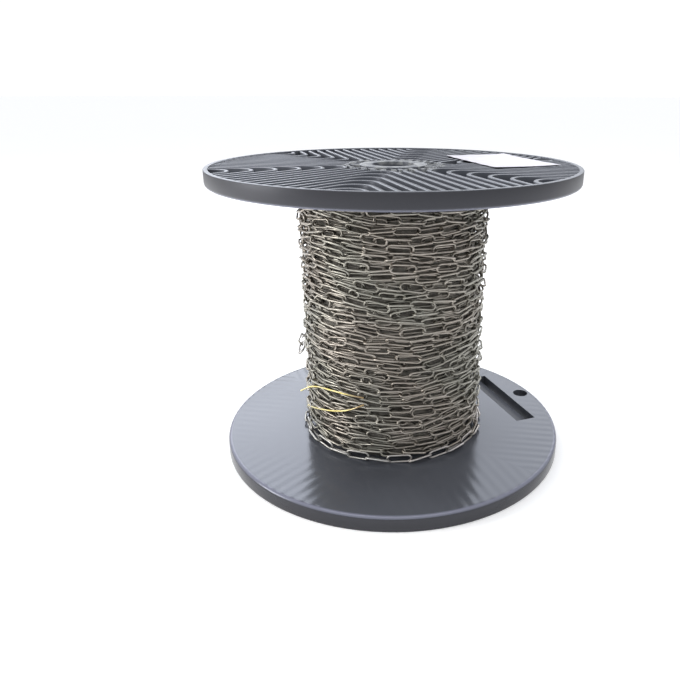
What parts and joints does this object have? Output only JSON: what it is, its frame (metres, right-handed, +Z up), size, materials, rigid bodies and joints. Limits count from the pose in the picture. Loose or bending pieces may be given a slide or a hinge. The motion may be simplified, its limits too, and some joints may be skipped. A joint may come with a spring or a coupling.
{
  "type": "reel of steel chain",
  "caption": "Dark plastic reel wound with long-link steel chain, standing on a flange, with a ribbed outer face, a hand slot, a tie wire and a bare label.",
  "frame": {"origin": "centre of the bottom flange's outer face, on the floor", "axes": "+Z up along the reel's axis; -Y is the side that faces the camera in the picture"},
  "size_m": [0.4, 0.3996, 0.327],
  "materials": {
    "top_flange": "semi-gloss",
    "bottom_flange": "semi-gloss",
    "barrel": "satin",
    "chain_core": "dull",
    "chain_outer_layer": "satin",
    "tie_wire_upper": "satin",
    "tie_wire_lower": "satin",
    "label": "smooth",
    "last_turn_link_01": "satin",
    "last_turn_link_02": "satin",
    "last_turn_link_03": "satin",
    "last_turn_link_04": "satin",
    "last_turn_link_05": "satin",
    "last_turn_link_06": "satin",
    "last_turn_link_07": "satin",
    "last_turn_link_08": "satin",
    "last_turn_link_09": "satin",
    "last_turn_link_10": "satin",
    "last_turn_link_11": "satin",
    "last_turn_link_12": "satin",
    "last_turn_link_13": "satin",
    "last_turn_link_14": "satin"
  },
  "bodies": {
    "root": {"top_flange": "top_flange", "bottom_flange": "bottom_flange", "barrel": "barrel", "chain_core": "chain_core", "chain_outer_layer": "chain_outer_layer", "tie_wire_upper": "tie_wire_upper", "tie_wire_lower": "tie_wire_lower", "label": "label", "last_turn_link_01": "last_turn_link_01", "last_turn_link_02": "last_turn_link_02", "last_turn_link_03": "last_turn_link_03", "last_turn_link_04": "last_turn_link_04", "last_turn_link_05": "last_turn_link_05", "last_turn_link_06": "last_turn_link_06", "last_turn_link_07": "last_turn_link_07", "last_turn_link_08": "last_turn_link_08", "last_turn_link_09": "last_turn_link_09", "last_turn_link_10": "last_turn_link_10", "last_turn_link_11": "last_turn_link_11", "last_turn_link_12": "last_turn_link_12", "last_turn_link_13": "last_turn_link_13", "last_turn_link_14": "last_turn_link_14"}
  },
  "joints": []
}
